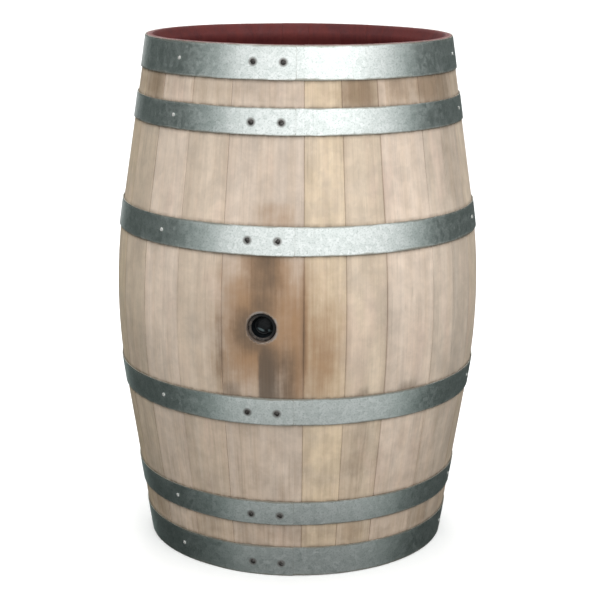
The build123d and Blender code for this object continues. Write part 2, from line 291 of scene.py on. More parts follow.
class Nodes:
    """A node tree being written. Its methods take sockets or plain values and give sockets."""

    def __init__(self, tree):
        self.tree = tree

    def plug(self, value, socket):
        if isinstance(value, bpy.types.NodeSocket):
            self.tree.links.new(value, socket)
        else:
            socket.default_value = value

    def node(self, kind, inputs, **settings):
        made = self.tree.nodes.new("ShaderNode" + kind)
        for key, value in settings.items():
            setattr(made, key, value)
        for key, value in inputs.items():
            self.plug(value, made.inputs[key])
        return made

    def number(self, name):
        """A number that is stored on a mesh's points."""
        return self.node("Attribute", {}, attribute_name=name).outputs["Fac"]

    def vector(self, name):
        """A vector that is stored on a mesh's points."""
        return self.node("Attribute", {}, attribute_name=name).outputs["Vector"]

    def place(self):
        """Where a point is in the CAD frame."""
        return self.node("TexCoord", {}).outputs["Object"]

    def split(self, vector):
        return self.node("SeparateXYZ", {0: vector}).outputs

    def math(self, operation, a, b=0.0):
        return self.node("Math", {0: a, 1: b}, operation=operation).outputs[0]

    def minus(self, a, b):
        return self.math("SUBTRACT", a, b)

    def plus_vector(self, a, b):
        return self.node("VectorMath", {0: a, 1: b}, operation="ADD").outputs[0]

    def times(self, *factors):
        total = factors[0]
        for factor in factors[1:]:
            total = self.math("MULTIPLY", total, factor)
        return total

    def plus(self, *terms):
        total = terms[0]
        for term in terms[1:]:
            total = self.math("ADD", total, term)
        return total

    def length(self, a, b):
        """How far from nought a point is, from its two coordinates."""
        return self.math("SQRT", self.plus(self.math("POWER", a, 2), self.math("POWER", b, 2)))

    def swing(self, noise, reach):
        """A noise from 0 to 1 as a swing of up to half of reach either way."""
        return self.times(self.minus(noise, 0.5), reach)

    def ramp(self, value, low, high, to_low=0.0, to_high=1.0):
        """A smooth step from to_low to to_high as value goes from low to high."""
        inputs = {
            "Value": value, "From Min": low, "From Max": high,
            "To Min": to_low, "To Max": to_high,
        }
        return self.node("MapRange", inputs, interpolation_type="SMOOTHSTEP").outputs[0]

    def stretch(self, vector, x, y, z):
        return self.node("VectorMath", {0: vector, 1: (x, y, z)}, operation="MULTIPLY").outputs[0]

    def noise(self, vector, scale, detail, roughness, distortion=0.0):
        inputs = {
            "Vector": vector, "Scale": scale, "Detail": detail,
            "Roughness": roughness, "Distortion": distortion,
        }
        return self.node("TexNoise", inputs).outputs[0]

    def streaks(self, vector, scales, detail, roughness, distortion=0.0):
        """A noise with its own scale along each axis."""
        drawn = self.stretch(vector, *scales)
        return self.noise(drawn, 1.0, detail, roughness, distortion)

    def noise_vector(self, vector, scale, reach):
        """A noise that moves points by up to about half of reach, to bend another pattern."""
        made = self.node("TexNoise", {"Vector": vector, "Scale": scale, "Detail": 2.0})
        centred = self.plus_vector(made.outputs["Color"], (-0.5, -0.5, -0.5))
        return self.stretch(centred, reach, reach, reach)

    def cells(self, vector, scale):
        return self.node("TexVoronoi", {"Vector": vector, "Scale": scale}).outputs

    def mix(self, factor, a, b, blend="MIX"):
        made = self.node("Mix", {}, data_type="RGBA", blend_type=blend)
        for socket, value in zip((made.inputs[0], made.inputs[6], made.inputs[7]), (factor, a, b)):
            if isinstance(value, tuple):
                value = (*value, 1.0)
            self.plug(value, socket)
        return made.outputs[2]

    def shade(self, colour, value):
        """A colour made darker or lighter by a number."""
        return self.node("VectorMath", {0: colour, 3: value}, operation="SCALE").outputs[0]

    def bump(self, height, distance, strength):
        inputs = {"Height": height, "Distance": distance, "Strength": strength}
        return self.node("Bump", inputs).outputs[0]


class Shader(Nodes):
    """One procedural material."""

    def __init__(self, name):
        self.material = bpy.data.materials.new(name)
        self.material.use_nodes = True
        super().__init__(self.material.node_tree)
        self.surface = self.tree.nodes["Principled BSDF"]

    def finish(self, colour, roughness, normal=None, **fixed):
        """Joins the parts to the surface. fixed holds values that are the same all over."""
        if normal:
            fixed["Normal"] = normal
        for name, value in {"Base Color": colour, "Roughness": roughness, **fixed}.items():
            self.plug(value, self.surface.inputs[name.replace("_", " ")])
        return self.material


# ---- materials


def wood_fibre(s, grain):
    """Oak's fibres along a grain vector: broad bands, fine lines and short dark pores."""
    bands = s.streaks(grain, (55, 55, 1.6), 3, 0.6, 0.3)
    lines = s.streaks(grain, (420, 420, 5), 4, 0.65, 0.15)
    pores = s.streaks(grain, (2300, 2300, 55), 2, 0.5)
    return bands, lines, s.ramp(pores, 0.62, 0.75)


def from_end(s, z):
    """How far a height is from the barrel's nearer end."""
    return s.math("MINIMUM", z, s.minus(HEIGHT, z))


def stave_material():
    """Weathered oak: pale, silvery and pinkish, with stains that ran from the bung hole, and
    painted shade and highlights by the hole, along the hoops and towards the foot.
    """
    s = Shader("weathered_oak")
    grain = s.vector("grain")
    tone = s.split(s.vector("tone"))
    wine, dark, grime = s.split(s.vector("stain_and_shade"))
    seam = s.number("seam")
    hoop_edge = s.number("hoop_edge")
    place = s.place()
    x, y, z = s.split(place)
    bands, lines, pores = wood_fibre(s, grain)
    blotch = s.noise(place, 9.0, 4, 0.6, 0.4)
    blush = s.streaks(grain, (16, 16, 6), 3, 0.6, 0.5)
    mottle = s.noise(place, 38.0, 4, 0.65, 0.3)
    drift = s.streaks(place, (30, 30, 5), 3, 0.6)

    warm = s.mix(tone[1], (0.66, 0.545, 0.455), (0.69, 0.555, 0.385))
    colour = s.mix(tone[2], warm, (0.52, 0.455, 0.385))
    colour = s.mix(s.ramp(bands, 0.35, 0.7, 0.0, 0.45), colour, (0.56, 0.43, 0.315))
    colour = s.mix(s.ramp(blotch, 0.42, 0.72, 0.0, 0.45), colour, (0.49, 0.415, 0.345))
    colour = s.mix(s.ramp(blush, 0.5, 0.75, 0.0, 0.45), colour, (0.66, 0.5, 0.41))
    light = s.times(
        tone[0],
        s.ramp(lines, 0.3, 0.75, 1.03, 0.94),
        s.ramp(drift, 0.3, 0.7, 1.08, 0.9),
        s.ramp(mottle, 0.3, 0.7, 1.06, 0.91),
        s.ramp(pores, 0, 1, 1.0, 0.88),
    )
    colour = s.shade(colour, light)

    # Weather shows as grey-brown streaks a few millimetres wide and a hand long.
    streak = s.streaks(grain, (170, 170, 7), 3, 0.6, 0.6)
    patch = s.streaks(grain, (14, 14, 4), 3, 0.6)
    worn = s.times(s.ramp(streak, 0.55, 0.72), s.ramp(patch, 0.42, 0.62))
    colour = s.mix(s.times(worn, 0.42), colour, (0.33, 0.265, 0.2))

    # Rays show as short pale flecks across the fibres.
    ray = s.streaks(grain, (240, 240, 70), 2, 0.5, 0.8)
    colour = s.mix(s.ramp(ray, 0.62, 0.72, 0.0, 0.14), colour, (0.76, 0.68, 0.57))

    # Wine that ran from the bung, and dirt, soak in unevenly along the grain, and so does the
    # painted shade towards the foot, which comes with the grime.
    soak = s.plus(
        s.swing(s.noise(place, 26.0, 4, 0.65), 0.5),
        s.swing(s.streaks(grain, (150, 150, 8), 3, 0.6), 0.4),
    )

    def soaked(stain_and_shade, low, high):
        return s.ramp(s.plus(stain_and_shade, s.times(soak, s.ramp(stain_and_shade, 0.0, 0.3))), low, high)

    colour = s.mix(soaked(grime, 0.0, 1.0), colour, s.stretch(colour, 0.47, 0.405, 0.33))
    wine_brown = s.mix(mottle, (0.25, 0.135, 0.062), (0.39, 0.228, 0.115))
    colour = s.mix(s.times(soaked(wine, 0.0, 1.0), 0.93), colour, wine_brown)
    near_black = s.mix(streak, (0.07, 0.05, 0.036), (0.145, 0.103, 0.07))
    colour = s.mix(s.times(soaked(dark, 0.05, 0.95), 0.9), colour, near_black)

    # Dirt packed in the joints, and a dark line along the hoops' edges that is partly dirt and
    # partly painted shade cast by the hoops.
    dirt = s.times(seam, s.ramp(drift, 0.25, 0.6, 0.45, 1.0))
    colour = s.mix(dirt, colour, (0.17, 0.095, 0.055))
    patchy = s.streaks(place, (90, 90, 25), 3, 0.6)
    edge_dirt_and_shade = s.times(hoop_edge, s.ramp(patchy, 0.3, 0.65, 0.35, 1.0))
    colour = s.mix(s.times(edge_dirt_and_shade, 0.85), colour, (0.13, 0.095, 0.065))

    # The hole's rim is bruised grey and painted paler above and right of it, a painted highlight.
    # Its wall is painted dark: painted shade inside the hole.
    away = s.plus(s.length(x, s.minus(z, MIDDLE)), s.swing(mottle, 0.004))
    front = s.ramp(y, -0.3, -0.31)
    rim = s.times(front, s.ramp(away, *RIM_FADE), s.ramp(mottle, 0.4, 0.62, 0.1, 0.85))
    painted_light_above_right = s.ramp(s.plus(x, z), MIDDLE - 0.02, MIDDLE + 0.02, 0.12, 1.0)
    colour = s.mix(s.times(rim, painted_light_above_right), colour, (0.29, 0.265, 0.25))
    colour = s.mix(s.times(front, s.ramp(away, *WALL_SHADE_FADE)), colour, (0.085, 0.06, 0.045))

    # The last few millimetres at each end are stained from the end grain.
    end = s.ramp(s.plus(from_end(s, z), s.swing(mottle, 0.006)), 0.0065, 0.0035)
    colour = s.mix(s.times(end, 0.9), colour, (0.21, 0.15, 0.135))

    relief = s.plus(
        s.times(lines, 0.5), s.times(bands, 0.5), s.times(pores, -0.35), s.times(worn, -0.3)
    )
    return s.finish(colour, s.ramp(lines, 0.3, 0.7, 0.64, 0.82), s.bump(relief, 0.0006, 0.5))


def stained_material():
    """Oak stained maroon by wine, worn pale on the outer edge of the staves' ends."""
    s = Shader("wine_stained_oak")
    grain = s.vector("grain")
    place = s.place()
    x, y, z = s.split(place)
    bands, lines, pores = wood_fibre(s, grain)
    blotch = s.noise(place, 14.0, 4, 0.65, 0.5)
    colour = s.mix(s.ramp(blotch, 0.35, 0.7), (0.105, 0.017, 0.016), (0.07, 0.011, 0.012))
    colour = s.mix(s.ramp(bands, 0.4, 0.7, 0.0, 0.5), colour, (0.13, 0.026, 0.022))
    light = s.times(s.ramp(lines, 0.3, 0.75, 1.1, 0.85), s.ramp(pores, 0, 1, 1.0, 0.7))
    colour = s.shade(colour, light)
    worn = s.ramp(s.plus(s.length(x, y), s.swing(blotch, 0.008)), 0.2735, 0.2775)
    pale = s.mix(s.ramp(blotch, 0.4, 0.7), (0.2, 0.115, 0.1), (0.12, 0.055, 0.05))
    pale = s.shade(pale, s.ramp(pores, 0, 1, 1.0, 0.6))
    colour = s.mix(s.times(worn, s.ramp(from_end(s, z), 0.006, 0.003)), colour, pale)
    relief = s.plus(s.times(lines, 0.6), s.times(pores, -0.4))
    rough = s.ramp(bands, 0.3, 0.7, 0.62, 0.8)
    return s.finish(colour, rough, s.bump(relief, 0.0005, 0.5), Specular_IOR_Level=0.3)


def toasted_material():
    """The inside of the staves, toasted brown and soaked with wine."""
    s = Shader("toasted_oak")
    grain = s.vector("grain")
    bands, lines, pores = wood_fibre(s, grain)
    char = s.streaks(grain, (40, 40, 30), 4, 0.6)
    colour = s.mix(s.ramp(char, 0.35, 0.7), (0.16, 0.075, 0.04), (0.07, 0.025, 0.025))
    colour = s.shade(colour, s.ramp(lines, 0.3, 0.7, 1.15, 0.8))
    relief = s.plus(s.times(char, 1.0), s.times(pores, -0.4))
    return s.finish(colour, s.ramp(bands, 0.3, 0.7, 0.65, 0.85), s.bump(relief, 0.0006, 0.6))


def raw_oak_material():
    """Clean oak for the dowels and the strips of rush, which keep their CAD shapes."""
    s = Shader("raw_oak")
    place = s.place()
    lines = s.streaks(place, (600, 30, 600), 4, 0.6)
    pores = s.streaks(place, (2600, 90, 2600), 2, 0.5)
    colour = s.mix(s.ramp(lines, 0.3, 0.7), (0.55, 0.4, 0.25), (0.42, 0.29, 0.17))
    colour = s.shade(colour, s.ramp(pores, 0.6, 0.75, 1.0, 0.75))
    return s.finish(colour, s.ramp(lines, 0.3, 0.7, 0.55, 0.75), s.bump(lines, 0.0003, 0.5))


def rush_material():
    """Dry rush, pressed flat between the head boards."""
    s = Shader("dry_rush")
    place = s.place()
    fibre = s.streaks(place, (25, 900, 700), 4, 0.6)
    colour = s.mix(s.ramp(fibre, 0.3, 0.7), (0.33, 0.26, 0.13), (0.17, 0.12, 0.07))
    return s.finish(colour, s.ramp(fibre, 0.3, 0.7, 0.6, 0.85), s.bump(fibre, 0.0003, 0.6))


def hoop_material():
    """Galvanised steel: crystals of zinc, chalky bloom, scuffs, dirt round the rivets, and painted
    shade on its borders and on the lower hoops.
    """
    s = Shader("galvanised_steel")
    band = s.vector("band")
    _, _, edge = s.split(band)
    flat = s.stretch(band, 1, 1, 0)
    crystal = s.cells(s.plus_vector(flat, s.noise_vector(flat, 160.0, 0.004)), 150.0)
    flake = s.split(crystal["Color"])
    fine = s.noise(flat, 300.0, 4, 0.75)
    bloom = s.streaks(flat, (14, 40, 0), 5, 0.7, 0.6)
    smear = s.streaks(flat, (30, 150, 0), 3, 0.6)
    drip = s.streaks(flat, (260, 16, 0), 3, 0.6)
    colour = s.mix(flake[0], (0.66, 0.71, 0.69), (0.8, 0.84, 0.825))
    colour = s.mix(s.ramp(fine, 0.48, 0.66, 0.0, 0.6), colour, (0.38, 0.43, 0.41))
    colour = s.mix(s.ramp(bloom, 0.48, 0.75, 0.0, 0.3), colour, (0.58, 0.63, 0.6))
    colour = s.mix(s.ramp(smear, 0.6, 0.75, 0.0, 0.25), colour, (0.4, 0.43, 0.42))
    colour = s.mix(s.ramp(drip, 0.58, 0.75, 0.0, 0.3), colour, (0.45, 0.46, 0.43))
    # The lower a hoop is, the darker it is painted: painted shade for the darker ground near the
    # foot that it reflects.
    _, _, height = s.split(s.place())
    colour = s.shade(colour, s.ramp(height, 0.0, 0.26, 0.74, 1.0))
    # A hoop's borders and visible end are darker: partly rust and partly painted shade along them.
    edge_rust_and_shade = s.plus(edge, s.swing(bloom, 0.35))
    colour = s.mix(s.ramp(edge_rust_and_shade, 0.88, 1.0, 0.0, 0.75), colour, (0.24, 0.22, 0.17))

    # How far each point is from the nearer rivet, because dirt has gathered round them.
    aside, above, _ = s.split(s.vector("lap"))
    sideways = s.minus(aside, RIVET_SPACING / 2)
    away = s.plus(s.length(sideways, above), s.swing(fine, 0.003))
    colour = s.mix(s.ramp(away, 0.0095, 0.0052, 0.0, 0.75), colour, (0.14, 0.125, 0.115))
    rough = s.plus(
        s.ramp(flake[1], 0, 1, 0.32, 0.4), s.ramp(bloom, 0.4, 0.75, 0.0, 0.06),
        s.ramp(edge_rust_and_shade, 0.85, 1.0, 0.0, 0.2), s.ramp(away, 0.01, 0.005, 0.0, 0.2),
    )
    relief = s.plus(s.times(flake[2], 0.15), s.times(fine, 0.5), s.times(bloom, 0.1))
    return s.finish(colour, rough, s.bump(relief, 0.0005, 0.4), Metallic=0.96)


def iron_material(name, bright, dark, roughness, metallic):
    """Bare steel with patches of rust or dirt, for the rivets and nails."""
    s = Shader(name)
    place = s.place()
    patch = s.noise(place, 420.0, 4, 0.65)
    fine = s.noise(place, 2400.0, 3, 0.6)
    colour = s.mix(s.ramp(patch, 0.4, 0.62), bright, dark)
    rough = s.ramp(patch, 0.35, 0.65, roughness, roughness + 0.3)
    relief = s.plus(patch, s.times(fine, 0.4))
    return s.finish(colour, rough, s.bump(relief, 0.0003, 0.5), Metallic=metallic)


def rubber_material():
    """Dark, smooth, moulded rubber, with dust and painted light on its lip and painted glints on
    the cup's floor.
    """
    s = Shader("bung_rubber")
    place = s.place()
    x, y, z = s.split(place)
    up = s.minus(z, MIDDLE)
    away = s.length(x, up)
    dust = s.noise(place, 160.0, 4, 0.65)
    grime = s.noise(place, 700.0, 3, 0.6)
    colour = s.mix(s.ramp(dust, 0.5, 0.8, 0.0, 0.15), (0.003, 0.004, 0.005), (0.05, 0.053, 0.056))

    face = BUNG_RECESS - BILGE_RADIUS
    lip = s.times(s.ramp(away, 0.018, 0.02), s.ramp(dust, 0.35, 0.6, 0.3, 1.0))
    lip = s.times(lip, s.ramp(y, face + 0.004, face + 0.002))
    # The lip is painted lighter on its lower left: partly dust and partly painted light where it
    # catches the light.
    dust_and_light_side = s.ramp(s.plus(s.times(x, -0.85), s.times(up, -0.5)), -0.01, 0.01, 0.05, 1.0)
    colour = s.mix(s.times(lip, dust_and_light_side), colour, (0.095, 0.078, 0.066))

    floor = s.times(
        s.ramp(away, BUNG_CUP_FLOOR + 0.0008, BUNG_CUP_FLOOR - 0.0006),
        s.ramp(y, face + BUNG_CUP_DEPTH + 0.003, face + BUNG_CUP_DEPTH + 0.001),
    )
    # Each glint is a pale patch painted on the cup's floor: a painted highlight.
    for glint_x, glint_z, half_length, half_width, tilt in PAINTED_GLINTS:
        along, across = s.minus(x, glint_x), s.minus(up, glint_z)
        cosine, sine = cos(radians(tilt)), sin(radians(tilt))
        run = s.plus(s.times(along, cosine / half_length), s.times(across, sine / half_length))
        rise = s.plus(s.times(along, -sine / half_width), s.times(across, cosine / half_width))
        reach = s.plus(s.length(run, rise), s.swing(grime, 1.2))
        colour = s.mix(s.times(floor, s.ramp(reach, 1.25, 0.6)), colour, (0.09, 0.12, 0.125))
    rough = s.plus(s.ramp(dust, 0.4, 0.75, 0.16, 0.28), s.times(lip, 0.35), s.times(floor, 0.3))
    relief = s.plus(s.times(grime, 0.05), s.times(floor, s.noise(place, 95.0, 2, 0.5, 0.6)))
    return s.finish(colour, rough, s.bump(relief, 0.002, 1.0), Specular_IOR_Level=0.22)


def floor_material():
    """A plain pale floor with the faintest mottling."""
    s = Shader("pale_floor")
    place = s.place()
    cloud = s.noise(place, 3.0, 3, 0.5)
    colour = s.mix(s.ramp(cloud, 0.3, 0.7), (0.86, 0.86, 0.855), (0.84, 0.84, 0.835))
    return s.finish(colour, s.ramp(cloud, 0.3, 0.7, 0.85, 0.9))


# ---- staves

OUTSIDE, END_GRAIN, INSIDE = 0, 1, 2
ROW_STEP = 0.0035
COLUMN_STEP = 0.006
EASED_EDGE = 0.0016
EASED_DEPTH = 0.0007
# How far a stave is from the CAD's: flat across, set back, rippled and cut short.
FLATNESS = 0.0004
SET_BACK = 0.0004
RIPPLE_ALONG = 0.00012
RIPPLE_ACROSS = 0.0001
CUT_SHORT = 0.0005
# Half of the hairline in a joint, and how much wider a fully dark one is.
HAIRLINE = 0.00008
DARK_HAIRLINE = 0.0001
# Dirt by a joint: how strong and how far it reaches, close by and further out.
SEAM_DIRT = [(0.8, 0.0014), (0.3, 0.005)]
HOOP_EDGE_REACH = 0.007
# How far apart in the pattern two neighbouring staves' grain is, across and along.
GRAIN_SHIFT = (3.7, 1.3)

# Each stave's lightness, yellowness and greyness, going round from the bung stave.
STAVE_TONES = [
    (0.96, 0.1, 0.0), (1.02, 0.9, 0.0), (0.98, 0.6, 0.15), (1.07, 0.1, 0.0), (1.01, 0.2, 0.35),
    (0.97, 0.2, 0.5), (0.99, 0.5, 0.2), (1.02, 0.1, 0.1), (0.94, 0.7, 0.2), (1.0, 0.3, 0.0),
    (1.05, 0.8, 0.0), (0.93, 0.2, 0.4), (1.01, 0.2, 0.1), (0.96, 0.6, 0.3), (1.03, 0.1, 0.0),
    (0.97, 0.4, 0.2), (0.91, 0.3, 0.4), (1.02, 0.7, 0.0), (0.98, 0.1, 0.2), (1.04, 0.4, 0.0),
    (0.94, 0.8, 0.1), (1.0, 0.2, 0.3), (0.93, 0.9, 0.1), (0.92, 0.5, 0.1), (1.09, 0.1, 0.05),
    (0.99, 0.3, 0.05),
]
# How dark the joint at the start of each stave is, and last the one that closes the circle.
JOINT_DARKNESS = [
    0.12, 0.25, 0.3, 0.45, 0.25, 0.25, 0.4, 0.25, 0.7, 0.35, 0.25, 0.8, 0.3, 0.45,
    0.25, 0.6, 0.35, 0.25, 0.8, 0.4, 0.25, 0.5, 0.3, 0.4, 0.25, 0.22, 0.12,
]
WINE, DARK, GRIME_AND_SHADE = 0, 1, 2
# Painted shade all round, darker towards the foot, and grime in the bay between the two hoops at
# each end.
SHADE_AT_FOOT = 0.36
FOOT_SHADE_TOP, FOOT_SHADE_DEPTH = 0.55, 0.4
GRIME_IN_TOP_BAY = 0.36
GRIME_IN_FOOT_BAY = 0.12
BAY_OFFSET, BAY_HALF_HEIGHT = 0.397, 0.045
# Soft-edged stains: azimuth, height, half width in degrees, half height and strength. A sixth
# number of -1 or 1 cuts one off sharply on its left or right, where a run of wine stopped.
STAINS = {
    WINE: [
        (-0.5, 0.475, 12.8, 0.112, 1.0), (2.5, 0.478, 18.5, 0.132, 0.72),
        (9.8, 0.44, 4.5, 0.125, 0.94), (1.5, 0.568, 8.8, 0.05, 1.0), (17.5, 0.43, 7.5, 0.11, 0.7),
        (12.3, 0.47, 1.1, 0.13, 1.0), (4.0, 0.665, 7.0, 0.025, 0.5),
    ],
    DARK: [
        (12.3, 0.465, 0.7, 0.12, 0.5), (1.0, 0.572, 5.6, 0.055, 0.66),
        # The dark stain at -2.6 degrees, left of and just below the bung hole, is partly wine and
        # partly painted shade at the hole's lower left.
        (0.5, 0.515, 5.0, 0.035, 0.6), (-2.6, 0.47, 6.8, 0.044, 0.74),
        (0.8, 0.384, 5.2, 0.07, 0.99, -1), (7.6, 0.385, 3.4, 0.07, 0.62),
        (-12.8, 0.44, 1.3, 0.07, 0.45), (-9.5, 0.358, 3.4, 0.018, 0.55),
        (30.5, 0.35, 3.2, 0.017, 0.48), (46.0, 0.35, 4.6, 0.019, 0.55),
        (168.0, 0.7, 2.0, 0.06, 0.5), (96.0, 0.56, 1.6, 0.04, 0.45),
    ],
    GRIME_AND_SHADE: [
        (-12.0, 0.385, 3.8, 0.045, 0.62), (31.2, 0.872, 8.0, 0.034, 0.92),
        (46.0, 0.872, 9.0, 0.035, 0.66), (64.0, 0.872, 16.0, 0.035, 0.85),
        (-50.0, 0.872, 8.0, 0.034, 0.72), (71.0, 0.74, 7.0, 0.08, 0.35),
        (-50.0, 0.38, 7.0, 0.1, 0.3), (31.0, 0.08, 7.0, 0.03, 0.68),
        (62.0, 0.08, 11.0, 0.03, 0.6), (-50.0, 0.08, 8.0, 0.03, 0.62),
        (31.0, 0.225, 6.5, 0.07, 0.42), (10.0, 0.08, 70.0, 0.025, 0.3),
        (150.0, 0.5, 9.0, 0.12, 0.4), (200.0, 0.78, 12.0, 0.09, 0.35),
        (240.0, 0.3, 14.0, 0.08, 0.4), (275.0, 0.72, 8.0, 0.07, 0.35),
        (100.0, 0.64, 7.0, 0.06, 0.35),
    ],
}


def stain_and_shade_fields(angle, heights):
    """How much of each kind of stain and of painted shade there is, over a grid of azimuths
    (radians) and heights.
    """
    fields = np.zeros((3, *angle.shape))
    for kind, stains in STAINS.items():
        for azimuth, z, half_width, half_height, strength, *side in stains:
            turn = (np.degrees(angle) - azimuth + 180) % 360 - 180
            sharp = turn * sum(side) > 0
            reach = half_width * np.where(sharp, 0.35, 1.0)
            fade = np.abs(turn / reach) ** np.where(sharp, 5.0, 2.8)
            fade = fade + np.abs((heights - z) / half_height) ** 3.5
            fields[kind] = np.maximum(fields[kind], strength * np.exp(-fade))
    # Painted shade, darker towards the foot, is added to the grime along with the grime in the
    # bays.
    foot = SHADE_AT_FOOT * np.clip((FOOT_SHADE_TOP - heights) / FOOT_SHADE_DEPTH, 0, 1)
    bays = np.where(heights > MIDDLE, GRIME_IN_TOP_BAY, GRIME_IN_FOOT_BAY)
    from_bay = np.abs(np.abs(heights - MIDDLE) - BAY_OFFSET)
    bays = bays * np.clip(1 - from_bay / BAY_HALF_HEIGHT, 0, 1)
    fields[GRIME_AND_SHADE] = np.maximum(fields[GRIME_AND_SHADE], foot + bays)
    return np.stack(fields, axis=-1)


def end_points():
    """A stave end's section from its outside to the start of the plain inner wall."""

    def inner(z):
        return outer_radius(z) - STAVE_THICKNESS / cos(END_SLOPE)

    def howel(z):
        return inner(z) + HOWEL_DEPTH * (1 - ((z - HEAD_CENTRE) / HOWEL_HALF_WIDTH) ** 2)

    lip = END_RADIUS - END_CHAMFER
    points = [(lip + 0.0009, 0.0003), (lip, 0.0)]
    points += [(lip - END_FACE * share, 0.0) for share in (0.25, 0.5, 0.75, 0.95)]
    bevel_run = inner(BEVEL_DEPTH) - (lip - END_FACE)
    points += [
        (lip - END_FACE + bevel_run * share, BEVEL_DEPTH * share)
        for share in (0.02, 0.25, 0.5, 0.75, 0.98)
    ]
    low, high = HEAD_CENTRE - CROZE_HALF_WIDTH, HEAD_CENTRE + CROZE_HALF_WIDTH
    points += [(howel(z), z) for z in np.linspace(HEAD_CENTRE - HOWEL_HALF_WIDTH, low, 6)]
    points += [(CROZE_RADIUS, low), (CROZE_RADIUS, high)]
    points += [(howel(z), z) for z in np.linspace(high, HEAD_CENTRE + HOWEL_HALF_WIDTH, 6)]
    return points


def stave_outline():
    """Radii, heights and regions round a stave's section, from the foot of its outside."""
    ends = end_points()
    rows = int((HEIGHT - 2 * END_CHAMFER) / ROW_STEP)
    outside = [(outer_radius(z), z) for z in np.linspace(END_CHAMFER, HEIGHT - END_CHAMFER, rows)]
    top = [(r, HEIGHT - z) for r, z in ends]
    inside = np.linspace(HEIGHT - ends[-1][1], ends[-1][1], 60)[1:-1]
    wall = [(outer_radius(z) - STAVE_THICKNESS / cos(slope_at(z)), z) for z in inside]
    points = outside + top + wall + ends[::-1]
    regions = [OUTSIDE] * len(outside) + [END_GRAIN] * len(top) + [INSIDE] * len(wall)
    regions += [END_GRAIN] * len(ends)
    radii, heights = np.array(points).T
    return radii, heights, np.array(regions)


def stave_columns(width):
    """How far across a stave its columns of points stand, close together at its edges."""
    edge = np.array([0.0, 0.0003, 0.0008, EASED_EDGE, 0.003])
    count = max(6, int(width / COLUMN_STEP))
    middle = np.linspace(edge[-1], width - edge[-1], count)[1:-1]
    return np.concatenate([edge, middle, width - edge[::-1]])


def stave_span(node):
    """The azimuths, in radians, of a CAD stave's two joints."""
    points = np.array([v.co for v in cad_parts[node].data.vertices])
    middle = atan2(points[:, 0].mean(), -points[:, 1].mean())
    around = np.arctan2(points[:, 0], -points[:, 1]) - middle
    around = (around + pi) % (2 * pi) - pi
    return middle + around.min(), middle + around.max()


def hoop_rows():
    """Each hoop's name, the height of its middle, its width and how high its rivets are."""
    for name, (width, lifts) in HOOPS.items():
        for end, lift in lifts.items():
            low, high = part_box(f"{name}_{end}")
            yield f"{name}_{end}", (low.z + high.z) / 2, width, lift


def near_hoops(heights):
    """How near each height is to a hoop's edge: 1 right at it, 0 out of its reach."""
    nearest = np.full(heights.shape, 1.0)
    for _, z, width, _ in hoop_rows():
        reach = np.abs(np.abs(heights - z) - width / 2 * cos(slope_at(z)))
        nearest = np.minimum(nearest, reach)
    return np.clip(1 - nearest / HOOP_EDGE_REACH, 0, 1) ** 2


def stave_mesh(number, node):
    """One stave: slightly flat across, a little uneven, with eased edges and a hairline joint."""
    start, stop = stave_span(node)
    radii, heights, regions = stave_outline()
    across = stave_columns((stop - start) * BILGE_RADIUS)
    share = across / across[-1]
    angle = start + share * (stop - start)
    from_edge = np.minimum(across, across[-1] - across)
    left, right = JOINT_DARKNESS[number], JOINT_DARKNESS[number + 1]

    easing = EASED_DEPTH * np.clip(1 - from_edge / EASED_EDGE, 0, 1) ** 2
    flat = FLATNESS * (1 - (2 * share - 1) ** 2)
    sunk = RANDOM.uniform(0, SET_BACK)
    long_waves, cross_waves = waves(5, 0.03, 0.5), waves(3, 0.02, 0.08)
    ripple = RIPPLE_ALONG * (1 + uneven(long_waves, heights))[:, None]
    winding = across + 0.05 * np.sin(5 * heights)[:, None]
    ripple = ripple + RIPPLE_ACROSS * (1 + uneven(cross_waves, winding))
    shell = (regions == OUTSIDE)[:, None]
    out = radii[:, None] - shell * (easing + flat + sunk + ripple)

    trim_top, trim_foot = RANDOM.uniform(0, CUT_SHORT, 2)
    at_foot = np.where(heights < 0.03, trim_foot, 0)
    up = heights + np.where(heights > HEIGHT - 0.03, -trim_top, at_foot)
    gap = HAIRLINE + DARK_HAIRLINE * max(left, right)
    sideways = gap * (1 - 2 * share)
    points = as_points(
        out * np.sin(angle) + sideways * np.cos(angle),
        -out * np.cos(angle) + sideways * np.sin(angle),
        up[:, None],
    )
    mesh = grid_mesh(node, points, closed_rows=True, caps=True)

    def each_point(values):
        """Values for each row or column, as one for every point."""
        return np.broadcast_to(values, out.shape).ravel()

    def dirt(distance):
        return sum(strength * np.exp(-distance / reach) for strength, reach in SEAM_DIRT)

    shift_across, shift_along = GRAIN_SHIFT
    grain_across = each_point(across + shift_across * number)
    depth = np.array([outer_radius(z) for z in heights])[:, None] - out
    grain_along = each_point(heights[:, None] + shift_along * number)
    store(mesh, "grain", np.stack([grain_across, depth.ravel(), grain_along], axis=-1))
    store(mesh, "tone", np.tile(STAVE_TONES[number], (out.size, 1)))
    store(mesh, "stain_and_shade", stain_and_shade_fields(each_point(angle), each_point(heights[:, None])))
    seam = np.maximum(left * dirt(across), right * dirt(across[-1] - across))
    store(mesh, "seam", each_point(np.clip(seam, 0, 1)))
    store(mesh, "hoop_edge", each_point(near_hoops(heights)[:, None]))

    # The faces between the outside's last row and an end belong to the end.
    regions = np.where(regions == OUTSIDE, np.maximum(regions, np.roll(regions, -1)), regions)
    face_regions = np.concatenate([np.repeat(regions, len(across) - 1), [INSIDE, INSIDE]])
    mesh.polygons.foreach_set("material_index", face_regions.astype(np.int32))
    return mesh


